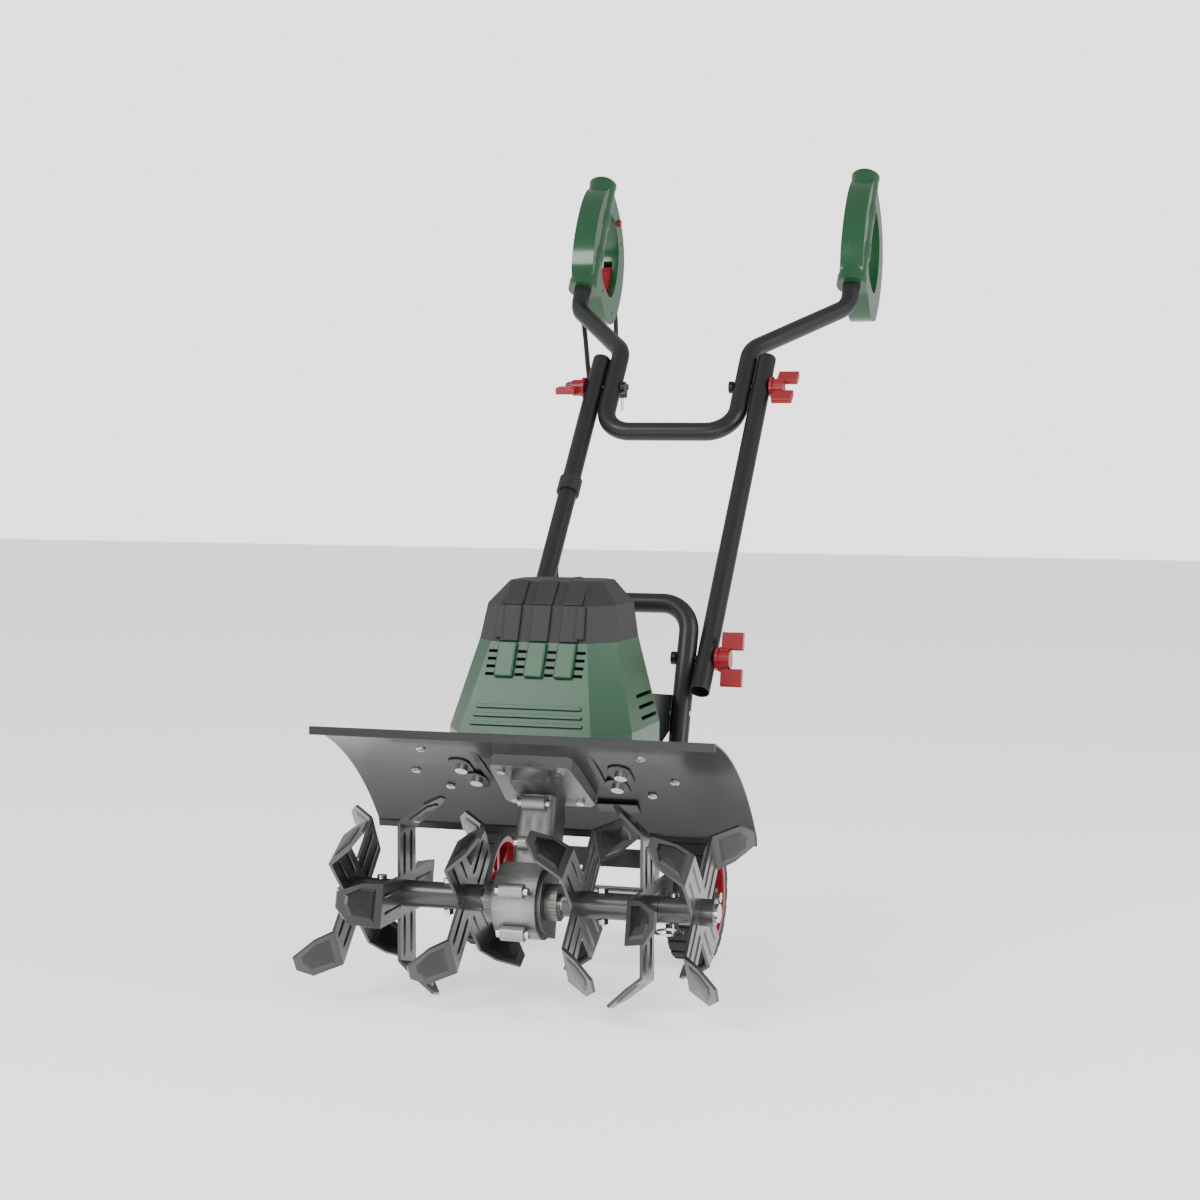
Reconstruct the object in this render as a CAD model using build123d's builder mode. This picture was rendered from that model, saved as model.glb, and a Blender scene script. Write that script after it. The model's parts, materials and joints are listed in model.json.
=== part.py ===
from build123d import *
import os
from math import cos, radians, sin, tan

# Electric garden tiller. Millimetres, +Z up, X across the machine, -Y ahead (tines), +Y to the user.
# The origin is on the ground under the middle of the outline.

os.makedirs("parts", exist_ok=True)

# ---------------------------------------------------------------- driving dimensions
AY = -439.682          # tine axle, Y
AZ = 109.695           # tine axle height = tine radius
AXLE_R = 10.0
HUB_R = 14.5
STAR_X = (64.0, 137.0, 196.0)
TINE_T = 3.5
ELBOW_R = 76.0
TIP_LEN = 50.0
TIP_BEND = 50.0
ARM_W = 46.0
SKEW = 14.0

GUARD_W = 450.0
GUARD_R = 366.0
GUARD_T = 2.0
GUARD_C = (AY - 153.0, -56.0)

LEAN = 16.3            # lean of the gear leg and motor from the vertical, degrees
WORM_N = 31.0          # worm shaft behind the tine axle

WHEEL_R = 74.0
WHEEL_Y = AY + 252.0
WHEEL_X = 127.0

TUBE_R = 12.0
TUBE_WALL = 1.5
FRAME_X = 89.0
MID_X = 114.0
LOW_PIVOT = (AY + 342.0, 344.0)
TOP_PIVOT = (AY + 627.0, 675.0)
BOLT_R = 4.0

GRIP_X = 194.0
GRIP_Y = AY + 829.0
GRIP_Z = 818.0
GRIP_U = (0.0, 0.530, 0.848)
GRIP_R = 19.5
GRIP_LEN = 188.0

CORD_R = 3.5
LEAD_R = 3.5

# ---------------------------------------------------------------- planes
LEG = Plane(
    origin=(0, AY, AZ),
    x_dir=(1, 0, 0),
    z_dir=(0, sin(radians(LEAN)), cos(radians(LEAN))),
)
GUARD_TOP = Plane(origin=(0, AY + 47.9, 249.9), x_dir=(1, 0, 0), z_dir=(0, 0.549, 0.836))
AXLE = Plane(origin=(0, AY, AZ), x_dir=(0, 1, 0), z_dir=(1, 0, 0))


def side_plane(y, z, x=0.0):
    """A plane square to the X axis, whose own X runs back and whose own Y runs up."""
    return Plane(origin=(x, y, z), x_dir=(0, 1, 0), z_dir=(1, 0, 0))


def grip_plane(side):
    """The grip's plane of symmetry: own X runs up the grip, own Y runs forward."""
    return Plane(origin=(side * GRIP_X, GRIP_Y, GRIP_Z), x_dir=GRIP_U, z_dir=(1, 0, 0))


def save(builder, label):
    builder.part.label = label
    export_step(builder.part, "parts/" + label + ".step")


def bent_line(points, radii):
    """Straight runs with round bends at the inner points; goes into the current line builder."""
    pts = [Vector(*p) for p in points]
    start = pts[0]
    for i in range(1, len(pts) - 1):
        d1 = (pts[i] - pts[i - 1]).normalized()
        d2 = (pts[i + 1] - pts[i]).normalized()
        half = radians(d1.get_angle(d2)) / 2
        r = radii[i - 1]
        a = pts[i] - d1 * (r * tan(half))
        b = pts[i] + d2 * (r * tan(half))
        mid = pts[i] + (d2 - d1).normalized() * (r / cos(half) - r)
        if (a - start).length > 0.01:
            Line(start, a)
        ThreePointArc(a, mid, b)
        start = b
    Line(start, pts[-1])


def x_rod(y, z, x0, x1, radius, mode=Mode.ADD):
    """A round bar along X between x0 and x1."""
    with BuildSketch(side_plane(y, z, min(x0, x1))) as face:
        Circle(radius)
    extrude(face.sketch, amount=abs(x1 - x0), mode=mode)


def leg_rod(n, s0, s1, radius, mode=Mode.ADD):
    """A round bar along the gear leg, n behind the tine axle, from s0 to s1 above it."""
    with BuildSketch(LEG.offset(s0)) as face:
        with Locations((0, n)):
            Circle(radius)
    extrude(face.sketch, amount=s1 - s0, mode=mode)


def leg_point(n, s):
    """Y and Z of a point n behind the tine axle and s up the leg."""
    c, k = cos(radians(LEAN)), sin(radians(LEAN))
    return (AY + n * c + s * k, AZ - n * k + s * c)


def guard_cylinder(radius, mode):
    with BuildSketch(side_plane(GUARD_C[0], GUARD_C[1], -300)) as face:
        Circle(radius)
    extrude(face.sketch, amount=600, mode=mode)


# ---------------------------------------------------------------- guard
def guard_at(y, radius):
    """Height of the guard's arc at a distance y behind the tine axle."""
    d = AY + y - GUARD_C[0]
    return GUARD_C[1] + (radius * radius - d * d) ** 0.5


FLANGE_BOLTS = [(-34, -24), (34, -24), (-38, 50), (38, 50)]
PLATE_BOLTS = [(-92, 8), (92, 8), (-82, 36), (82, 36)]

with BuildPart() as guard_sheet:
    y0, y1 = -60.0, 135.0
    inner = GUARD_R - GUARD_T
    with BuildSketch(side_plane(0, 0, -GUARD_W / 2)):
        with BuildLine():
            p0 = (AY + y0, guard_at(y0, GUARD_R))
            p1 = (AY + y1, guard_at(y1, GUARD_R))
            q0 = (AY + y0, guard_at(y0, inner))
            q1 = (AY + y1, guard_at(y1, inner))
            ThreePointArc(p0, (AY + 40, guard_at(40, GUARD_R)), p1)
            Polyline(p1, (p1[0] + 3, p1[1] - 11), (p1[0] + 1, p1[1] - 12), (q1[0] - 0.2, q1[1] - 2), q1)
            ThreePointArc(q1, (AY + 40, guard_at(40, inner)), q0)
            Polyline(q0, (q0[0], q0[1] - 7), (q0[0] - 2, q0[1] - 7), (p0[0] - 2, p0[1]), p0)
        make_face()
    extrude(amount=GUARD_W)
    leg_rod(WORM_N, 100, 240, 17, Mode.SUBTRACT)
    with BuildSketch(GUARD_TOP.offset(-60)):
        with Locations(*FLANGE_BOLTS):
            Circle(3.3)
        with Locations(*PLATE_BOLTS):
            Circle(3.3)
    extrude(amount=80, mode=Mode.SUBTRACT)
save(guard_sheet, "guard_sheet")

# ---------------------------------------------------------------- gear case
LUGS = [(-47, 6), (-30, -38), (2, 62), (2, 106), (58.5, 40), (58.5, 96)]


def gear_case(side):
    with BuildSketch(LEG.offset(-36)) as foot:
        with Locations((0, 30)):
            RectangleRounded(46, 46, 7)
    with BuildSketch(LEG.offset(150)) as face:
        with Locations((0, 30)):
            RectangleRounded(44, 46, 9)
    loft([foot.sketch, face.sketch])
    with BuildSketch(LEG.offset(149)) as face:
        with Locations((0, 30)):
            RectangleRounded(44, 46, 9)
    extrude(face.sketch, amount=30)
    with BuildSketch(AXLE) as face:
        Circle(41)
    extrude(face.sketch, amount=24, both=True)
    with BuildSketch(AXLE) as face:
        Circle(34)
    extrude(face.sketch, amount=28, both=True)
    with BuildSketch(AXLE) as face:
        Circle(20)
    extrude(face.sketch, amount=41, both=True)
    for n, s in LUGS:
        y, z = leg_point(n, s)
        x_rod(y, z, -13, 13, 8)
    with BuildSketch(GUARD_TOP.offset(-30)) as face:
        with BuildLine():
            Polyline(
                (-42, -34), (42, -34), (46, -28), (52, 58), (46, 66), (-46, 66), (-52, 58), (-46, -28),
                (-42, -34),
            )
        make_face()
    extrude(face.sketch, amount=40)
    guard_cylinder(GUARD_R - GUARD_T - 0.1, Mode.INTERSECT)
    with BuildSketch(GUARD_TOP.offset(-31)) as face:
        with BuildLine():
            Polyline((-70, -60), (70, -60), (70, 90), (-70, 90), (-70, -60))
        make_face()
        with Locations((0, 12)):
            RectangleRounded(46, 76, 8, mode=Mode.SUBTRACT)
    extrude(face.sketch, amount=14, mode=Mode.SUBTRACT)
    x_rod(AY, AZ, -19, 19, 35, Mode.SUBTRACT)
    x_rod(AY, AZ, -50, 50, 13.05, Mode.SUBTRACT)
    leg_rod(WORM_N, -30, 200, 13.05, Mode.SUBTRACT)
    for n, s in LUGS:
        y, z = leg_point(n, s)
        x_rod(y, z, -20, 20, 2.7, Mode.SUBTRACT)
    with BuildSketch(GUARD_TOP.offset(-60)) as face:
        with Locations(*FLANGE_BOLTS):
            Circle(3.3)
    extrude(face.sketch, amount=90, mode=Mode.SUBTRACT)
    with Locations((side * 150.05, AY, 200)):
        Box(300, 500, 500, mode=Mode.INTERSECT)


with BuildPart() as gear_case_left:
    gear_case(-1)
save(gear_case_left, "gear_case_left")

with BuildPart() as gear_case_right:
    gear_case(1)
save(gear_case_right, "gear_case_right")

with BuildPart() as case_screws:
    for n, s in LUGS:
        y, z = leg_point(n, s)
        x_rod(y, z, -13.2, 13.3, 2.5)
        x_rod(y, z, 13.2, 18, 4.3)
        x_rod(y, z, -18, -13.2, 4.6)
save(case_screws, "case_screws")

with BuildPart() as axle_bushes:
    for side in (-1, 1):
        x_rod(AY, AZ, side * 21, side * 40.5, 13)
        x_rod(AY, AZ, side * 20, side * 41.5, AXLE_R + 0.06, Mode.SUBTRACT)
save(axle_bushes, "axle_bushes")

# ---------------------------------------------------------------- motor
OCT_BASE = (105.0, -5.0, 192.0, 30.0, 55.0)
OCT_TOP = (80.0, 45.0, 187.0, 25.0, 34.0)
OCT_CAP = (75.0, 60.0, 184.0, 24.0, 32.0)
OCT_CROWN = (54.0, 86.0, 170.0, 16.0, 22.0)
OCT_Z = (200.0, 290.0, 386.0, 425.0, 450.0)
FLOOR_T = 3.5


def octagon(spec, z, inset=0.0):
    """An eight-sided outline: half width, front, back and the two legs of its corner cuts."""
    w, f, b, cx, cy = spec
    w, f, b = w - inset, f + inset, b - inset
    with BuildSketch(Plane.XY.offset(z)) as face:
        with BuildLine():
            Polyline(
                (-w, AY + f + cy),
                (-w + cx, AY + f),
                (w - cx, AY + f),
                (w, AY + f + cy),
                (w, AY + b - cx),
                (w - cx, AY + b),
                (-w + cx, AY + b),
                (-w, AY + b - cx),
                (-w, AY + f + cy),
            )
        make_face()
    return face.sketch


def front_y(z):
    """Y of the housing's sloping front wall at height z, behind the tine axle."""
    t = (z - OCT_Z[1]) / (OCT_Z[2] - OCT_Z[1])
    return OCT_BASE[1] + (OCT_TOP[1] - OCT_BASE[1]) * t


with BuildPart() as motor_housing:
    extrude(octagon(OCT_BASE, OCT_Z[0]), amount=OCT_Z[1] - OCT_Z[0])
    loft([octagon(OCT_BASE, OCT_Z[1]), octagon(OCT_TOP, OCT_Z[2])], ruled=True)
    room = OCT_Z[1] - OCT_Z[0] - FLOOR_T
    extrude(octagon(OCT_BASE, OCT_Z[0] + FLOOR_T, 3.5), amount=room, mode=Mode.SUBTRACT)
    inside = [octagon(OCT_BASE, OCT_Z[1], 3.5), octagon(OCT_TOP, OCT_Z[2] + 0.01, 3.5)]
    loft(inside, ruled=True, mode=Mode.SUBTRACT)
    guard_cylinder(GUARD_R + 0.2, Mode.SUBTRACT)
    for x in (-50, -17, 17, 50):
        for z in (352, 360, 368, 376):
            with Locations((x, AY + front_y(z), z)):
                Box(11 if abs(x) > 20 else 10, 16, 3.2, mode=Mode.SUBTRACT)
    for side in (-1, 1):
        for z in (300, 312, 324):
            with Locations((side * 100, AY + 128, z)):
                Box(30, 60, 4, mode=Mode.SUBTRACT)
save(motor_housing, "motor_housing")

with BuildPart() as motor_cap:
    outside = [octagon(OCT_TOP, OCT_Z[2] + 0.2), octagon(OCT_CAP, OCT_Z[3]), octagon(OCT_CROWN, OCT_Z[4])]
    loft(outside, ruled=True)
    inside = [
        octagon(OCT_TOP, OCT_Z[2], 3.5),
        octagon(OCT_CAP, OCT_Z[3] - 2, 3.5),
        octagon(OCT_CROWN, OCT_Z[4] - 3.5, 3.5),
    ]
    loft(inside, ruled=True, mode=Mode.SUBTRACT)
save(motor_cap, "motor_cap")

with BuildPart() as motor_plate:
    with BuildSketch(GUARD_TOP.offset(-12)):
        with Locations((0, 12)):
            Rectangle(200, 92)
    extrude(amount=22)
    guard_cylinder(GUARD_R + 0.2, Mode.SUBTRACT)
    leg_rod(WORM_N, 100, 240, 17, Mode.SUBTRACT)
    with BuildSketch(GUARD_TOP.offset(-60)):
        with Locations(*FLANGE_BOLTS):
            Circle(3.3)
        with Locations(*PLATE_BOLTS):
            Circle(3.3)
    extrude(amount=90, mode=Mode.SUBTRACT)
    extrude(octagon(OCT_BASE, OCT_Z[0] + FLOOR_T + 0.3, 3.7), amount=120, mode=Mode.INTERSECT)
save(motor_plate, "motor_plate")

with BuildPart() as body_bolts:
    with BuildSketch(GUARD_TOP.offset(-21.5)):
        with Locations(*FLANGE_BOLTS):
            RegularPolygon(5.2, 6)
    extrude(amount=4.3)
    with BuildSketch(GUARD_TOP.offset(-19)):
        with Locations(*FLANGE_BOLTS):
            Circle(3)
    extrude(amount=32)
    with BuildSketch(GUARD_TOP.offset(-8)):
        with Locations(*PLATE_BOLTS):
            Circle(3)
    extrude(amount=24)
    for x, v in PLATE_BOLTS:
        drop = GUARD_R - (GUARD_R**2 - v**2) ** 0.5
        with BuildSketch(GUARD_TOP.offset(-GUARD_T - drop - 5.5)):
            with Locations((x, v)):
                Circle(7)
        extrude(amount=4.2)
    for side in (-1, 1):
        for z in (244, 300):
            with BuildSketch(Plane(origin=(side * 60, AY + 196.6, z), x_dir=(1, 0, 0), z_dir=(0, 1, 0))):
                Circle(5)
            extrude(amount=3.5)
            with BuildSketch(Plane(origin=(side * 60, AY + 192.4, z), x_dir=(1, 0, 0), z_dir=(0, 1, 0))):
                Circle(2.5)
            extrude(amount=5)
save(body_bolts, "body_bolts")

with BuildPart() as shaft_bearings:
    for low, high in ((-29, -22), (128, 137), (274, 283)):
        leg_rod(WORM_N, low, high, 12.95)
    leg_rod(WORM_N, -30, 284, 6.05, Mode.SUBTRACT)
save(shaft_bearings, "shaft_bearings")

with BuildPart() as stator:
    leg_rod(WORM_N, 190, 256, 42)
    leg_rod(WORM_N, 189, 257, 29.5, Mode.SUBTRACT)
save(stator, "stator")

with BuildPart() as motor_frame:
    leg_rod(WORM_N, 168, 288, 45)
    leg_rod(WORM_N, 172, 270, 42.1, Mode.SUBTRACT)
    leg_rod(WORM_N, 273.5, 283.5, 13.05, Mode.SUBTRACT)
    leg_rod(WORM_N, 160, 290, 8, Mode.SUBTRACT)
    leg_rod(WORM_N, 160, 173, 18, Mode.SUBTRACT)
    with BuildSketch(LEG.offset(176)):
        with Locations((0, WORM_N)):
            with PolarLocations(43, 6):
                Rectangle(12, 12)
    extrude(amount=9, mode=Mode.SUBTRACT)
save(motor_frame, "motor_frame")

# ---------------------------------------------------------------- rotor
with BuildPart() as motor_shaft:
    leg_rod(WORM_N, -28, 283, 6)
    for k in range(7):
        leg_rod(WORM_N, -16.5 + 5 * k, -13.5 + 5 * k, 8.6)
save(motor_shaft, "motor_shaft")

with BuildPart() as armature:
    leg_rod(WORM_N, 194, 252, 29)
    leg_rod(WORM_N, 256, 268, 14)
    leg_rod(WORM_N, 250, 257, 22)
    leg_rod(WORM_N, 190, 270, 6.05, Mode.SUBTRACT)
    with BuildSketch(LEG.offset(190)):
        with Locations((0, WORM_N)):
            with PolarLocations(28, 12):
                Rectangle(5, 3)
    extrude(amount=65, mode=Mode.SUBTRACT)
save(armature, "armature")

with BuildPart() as cooling_fan:
    leg_rod(WORM_N, 176, 179, 39)
    leg_rod(WORM_N, 178, 188, 12)
    with BuildSketch(LEG.offset(178.5)):
        with Locations((0, WORM_N)):
            with PolarLocations(25, 9):
                Rectangle(25, 2)
    extrude(amount=9)
    leg_rod(WORM_N, 170, 190, 6.05, Mode.SUBTRACT)
save(cooling_fan, "cooling_fan")

# ---------------------------------------------------------------- tines
with BuildPart() as tine_axle:
    x_rod(AY, AZ, -216, 216, AXLE_R)
    for side in (-1, 1):
        for x in (88, 166):
            with BuildSketch(Plane(origin=(side * x, AY, AZ - 20), z_dir=(0, 0, 1))):
                Circle(3.2)
            extrude(amount=40, mode=Mode.SUBTRACT)
save(tine_axle, "tine_axle")

with BuildPart() as worm_wheel:
    with BuildSketch(AXLE):
        Circle(21.8)
        with PolarLocations(21.8, 28):
            Circle(1.1, mode=Mode.SUBTRACT)
        Circle(AXLE_R + 0.05, mode=Mode.SUBTRACT)
    extrude(amount=8, both=True)
save(worm_wheel, "worm_wheel")


def hub(side, x0, x1, pin):
    x_rod(AY, AZ, side * x0, side * x1, HUB_R)
    x_rod(AY, AZ, side * (x0 - 1), side * (x1 + 1), AXLE_R + 0.15, Mode.SUBTRACT)
    with BuildSketch(Plane(origin=(side * pin, AY, AZ - 20), z_dir=(0, 0, 1))) as face:
        Circle(3.2)
    extrude(face.sketch, amount=40, mode=Mode.SUBTRACT)


with BuildPart() as hubs_inner:
    hub(-1, 46, 152, 88)
    hub(1, 46, 152, 88)
save(hubs_inner, "hubs_inner")

with BuildPart() as hubs_outer:
    hub(-1, 152.5, 212, 166)
    hub(1, 152.5, 212, 166)
save(hubs_outer, "hubs_outer")


def arm(x, angle, bend):
    """One flat blade: an arm square to the axle and a tip folded sideways by bend (+1 or -1)."""
    a, k, f = radians(angle), radians(SKEW), radians(TIP_BEND)
    r = Vector(0, cos(a), sin(a))
    t = Vector(0, -sin(a), cos(a))
    b = t * cos(k) + r * sin(k)
    p = r * cos(k) - t * sin(k)
    d = p * cos(f) + Vector(1, 0, 0) * (bend * sin(f))
    hub_point = Vector(x, AY, AZ)
    elbow = hub_point + r * ELBOW_R
    w = ARM_W / 2
    e = w / cos(k)
    slope = w * tan(k)
    with BuildSketch(Plane(origin=hub_point, x_dir=r, z_dir=(1, 0, 0))) as face:
        with BuildLine():
            Polyline(
                (0, -w + 5), (26, -w), (ELBOW_R - slope, -w), (ELBOW_R + slope, w), (26, w), (0, w - 5),
                (0, -w + 5),
            )
        make_face()
    extrude(face.sketch, amount=TINE_T / 2, both=True)
    with BuildSketch(Plane(origin=elbow, x_dir=d, z_dir=d.cross(b))) as face:
        with BuildLine():
            Polyline((0, -e), (22, -e + 1), (TIP_LEN, -12), (TIP_LEN, 5), (34, e - 2), (0, e), (0, -e))
        make_face()
    extrude(face.sketch, amount=TINE_T / 2, both=True)
    with BuildSketch(Plane(origin=elbow - b * (e - 0.5), x_dir=p, z_dir=b)) as face:
        Circle(TINE_T / 2)
    extrude(face.sketch, amount=2 * e - 1)


def star(side, x, turn, first):
    for i in range(4):
        arm(side * x, turn + 90 * i, side * first * (1 if i % 2 == 0 else -1))
    x_rod(AY, AZ, side * x - 20, side * x + 20, HUB_R + 0.1, Mode.SUBTRACT)


with BuildPart() as stars_inner:
    star(-1, STAR_X[0], 45, 1)
    star(1, STAR_X[0], 45, 1)
save(stars_inner, "stars_inner")

with BuildPart() as stars_middle:
    star(-1, STAR_X[1], 0, 1)
    star(1, STAR_X[1], 0, 1)
save(stars_middle, "stars_middle")

with BuildPart() as stars_outer:
    star(-1, STAR_X[2], 45, 1)
    star(1, STAR_X[2], 45, 1)
save(stars_outer, "stars_outer")

with BuildPart() as hub_bolts:
    for side in (-1, 1):
        with BuildSketch(Plane(origin=(side * 88, AY, AZ - 21), z_dir=(0, 0, 1))):
            Circle(3)
        extrude(amount=37)
        with BuildSketch(Plane(origin=(side * 88, AY, AZ + 14.7), z_dir=(0, 0, 1))):
            RegularPolygon(6, 6)
        extrude(amount=4.5)
        with BuildSketch(Plane(origin=(side * 88, AY, AZ - 19.7), z_dir=(0, 0, 1))):
            RegularPolygon(6, 6)
        extrude(amount=5)
save(hub_bolts, "hub_bolts")

with BuildPart() as hitch_pins:
    for side in (-1, 1):
        with BuildSketch(Plane(origin=(side * 166, AY, AZ - 24), z_dir=(0, 0, 1))):
            Circle(3)
        extrude(amount=40)
        with BuildSketch(Plane(origin=(side * 166, AY, AZ + 14.7), z_dir=(0, 0, 1))):
            Circle(5.5)
        extrude(amount=4)
save(hitch_pins, "hitch_pins")

with BuildPart() as pin_clips:
    for side in (-1, 1):
        ring = Plane(origin=(side * 166, AY, AZ - 19.5), x_dir=(1, 0, 0), z_dir=(0, 0, 1))
        with BuildSketch(ring):
            Circle(5.6)
            Circle(3.2, mode=Mode.SUBTRACT)
        extrude(amount=1.6, both=True)
        with BuildSketch(ring):
            with Locations((0, -19.5)):
                Circle(15.5)
                Circle(13.2, mode=Mode.SUBTRACT)
        extrude(amount=1.1, both=True)
save(pin_clips, "pin_clips")

# ---------------------------------------------------------------- lower frame and wheels
FRAME_DY = 0.367       # how far the frame's legs run back for each millimetre up


def frame_y(z):
    return LOW_PIVOT[0] + (z - LOW_PIVOT[1]) * FRAME_DY


CARRIER = (frame_y(150), 150.0)

with BuildPart() as lower_frame:
    with BuildLine():
        bent_line(
            [
                (-FRAME_X, frame_y(122), 122),
                (-FRAME_X, frame_y(408), 408),
                (FRAME_X, frame_y(408), 408),
                (FRAME_X, frame_y(122), 122),
            ],
            (36, 36),
        )
    with BuildSketch(Plane(origin=(-FRAME_X, frame_y(122), 122), z_dir=(0, FRAME_DY, 1))):
        Circle(TUBE_R)
        Circle(TUBE_R - TUBE_WALL, mode=Mode.SUBTRACT)
    sweep()
    for y, z in (LOW_PIVOT, CARRIER, (frame_y(280), 280)):
        x_rod(y, z, -110, 110, BOLT_R + 0.1, Mode.SUBTRACT)
save(lower_frame, "lower_frame")


def bracket(side):
    """A pressed plate on the inside of a frame leg with a tab on the housing's back."""
    x = side * 72.6
    with BuildSketch(side_plane(0, 0, x)) as face:
        with BuildLine():
            Polyline(
                (AY + 192.4, 318),
                (frame_y(300) + 10, 300),
                (frame_y(262) + 10, 262),
                (AY + 192.4, 226),
                (AY + 192.4, 318),
            )
        make_face()
    extrude(face.sketch, amount=side * 4)
    with Locations((side * 62, AY + 194.4, 272)):
        Box(25, 4, 92)
    x_rod(frame_y(280), 280, side * 60, side * 90, BOLT_R + 0.1, Mode.SUBTRACT)
    for z in (244, 300):
        with BuildSketch(Plane(origin=(side * 60, AY + 180, z), x_dir=(1, 0, 0), z_dir=(0, 1, 0))) as face:
            Circle(2.8)
        extrude(face.sketch, amount=30, mode=Mode.SUBTRACT)


with BuildPart() as frame_brackets:
    bracket(-1)
    bracket(1)
save(frame_brackets, "frame_brackets")

with BuildPart() as frame_bolts:
    for side in (-1, 1):
        x_rod(frame_y(280), 280, side * 72, side * 100.4, BOLT_R)
        x_rod(frame_y(280), 280, side * 66.5, side * 72.3, 6.5)
        x_rod(*CARRIER, side * 71, side * 104, BOLT_R)
        x_rod(*CARRIER, side * 66.5, side * 71.7, 7)
        x_rod(*CARRIER, side * 101.5, side * 105, 7)
save(frame_bolts, "frame_bolts")

with BuildPart() as wheel_carrier:
    for side in (-1, 1):
        with BuildSketch(side_plane(0, 0, side * 72)):
            with BuildLine():
                Polyline(
                    (CARRIER[0] - 13, CARRIER[1]),
                    (WHEEL_Y - 13, WHEEL_R),
                    (WHEEL_Y + 13, WHEEL_R),
                    (CARRIER[0] + 13, CARRIER[1]),
                    (CARRIER[0] - 13, CARRIER[1]),
                )
            make_face()
            with Locations(CARRIER, (WHEEL_Y, WHEEL_R)):
                Circle(13)
        extrude(amount=side * 4.5)
    with Locations((0, (CARRIER[0] + WHEEL_Y) / 2, (CARRIER[1] + WHEEL_R) / 2)):
        Box(145, 4, 22)
    x_rod(CARRIER[0], CARRIER[1], -100, 100, BOLT_R + 0.05, Mode.SUBTRACT)
    x_rod(WHEEL_Y, WHEEL_R, -100, 100, 6.1, Mode.SUBTRACT)
save(wheel_carrier, "wheel_carrier")

with BuildPart() as wheel_axle:
    x_rod(WHEEL_Y, WHEEL_R, -156, 156, 6)
save(wheel_axle, "wheel_axle")


def tyre(side):
    x_rod(WHEEL_Y, WHEEL_R, side * (WHEEL_X - 19), side * (WHEEL_X + 19), WHEEL_R)
    x_rod(WHEEL_Y, WHEEL_R, side * (WHEEL_X - 20), side * (WHEEL_X + 20), 58, Mode.SUBTRACT)
    with BuildSketch(side_plane(WHEEL_Y, WHEEL_R, WHEEL_X * side)) as face:
        with PolarLocations(WHEEL_R + 0.6, 22, start_angle=90 + 180 / 22):
            Rectangle(5, 6)
    extrude(face.sketch, amount=30, both=True, mode=Mode.SUBTRACT)


def rim(side):
    x_rod(WHEEL_Y, WHEEL_R, side * (WHEEL_X - 17), side * (WHEEL_X + 17), 57.9)
    x_rod(WHEEL_Y, WHEEL_R, side * (WHEEL_X - 18), side * (WHEEL_X + 18), 51, Mode.SUBTRACT)
    with BuildSketch(side_plane(WHEEL_Y, WHEEL_R, WHEEL_X * side)) as face:
        Circle(17)
        with PolarLocations(33, 8):
            Rectangle(38, 7)
    extrude(face.sketch, amount=8, both=True)
    x_rod(WHEEL_Y, WHEEL_R, side * (WHEEL_X - 19), side * (WHEEL_X + 18), 14)
    x_rod(WHEEL_Y, WHEEL_R, side * (WHEEL_X - 21), side * (WHEEL_X + 20), 6.07, Mode.SUBTRACT)


with BuildPart() as tyre_left:
    tyre(-1)
save(tyre_left, "tyre_left")

with BuildPart() as tyre_right:
    tyre(1)
save(tyre_right, "tyre_right")

with BuildPart() as rim_left:
    rim(-1)
save(rim_left, "rim_left")

with BuildPart() as rim_right:
    rim(1)
save(rim_right, "rim_right")

with BuildPart() as axle_clips:
    for side in (-1, 1):
        x_rod(WHEEL_Y, WHEEL_R, side * 147, side * 150, 11)
        x_rod(WHEEL_Y, WHEEL_R, side * 106, side * 77.5, 8.5)
        x_rod(WHEEL_Y, WHEEL_R, side * 70, side * 155, 6.08, Mode.SUBTRACT)
save(axle_clips, "axle_clips")

# ---------------------------------------------------------------- middle tubes
MID_DY = (TOP_PIVOT[0] - LOW_PIVOT[0]) / (TOP_PIVOT[1] - LOW_PIVOT[1])


def mid_tube(side):
    low = (side * MID_X, LOW_PIVOT[0] - 36 * MID_DY, LOW_PIVOT[1] - 36)
    top = (side * MID_X, TOP_PIVOT[0] + 38 * MID_DY, TOP_PIVOT[1] + 38)
    with BuildSketch(Plane(origin=low, z_dir=(0, MID_DY, 1))) as face:
        Circle(TUBE_R)
        Circle(TUBE_R - TUBE_WALL, mode=Mode.SUBTRACT)
    extrude(face.sketch, amount=(Vector(*top) - Vector(*low)).length)
    for y, z in (LOW_PIVOT, TOP_PIVOT):
        x_rod(y, z, side * 95, side * 135, BOLT_R + 0.1, Mode.SUBTRACT)


with BuildPart() as mid_tube_left:
    mid_tube(-1)
save(mid_tube_left, "mid_tube_left")

with BuildPart() as mid_tube_right:
    mid_tube(1)
save(mid_tube_right, "mid_tube_right")


def pivot_bolts(y, z):
    for side in (-1, 1):
        x_rod(y, z, side * 76, side * 140, BOLT_R)
        x_rod(y, z, side * 71, side * 76.6, 8)


with BuildPart() as lower_pivot_bolts:
    pivot_bolts(*LOW_PIVOT)
save(lower_pivot_bolts, "lower_pivot_bolts")

with BuildPart() as upper_pivot_bolts:
    pivot_bolts(*TOP_PIVOT)
save(upper_pivot_bolts, "upper_pivot_bolts")


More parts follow.
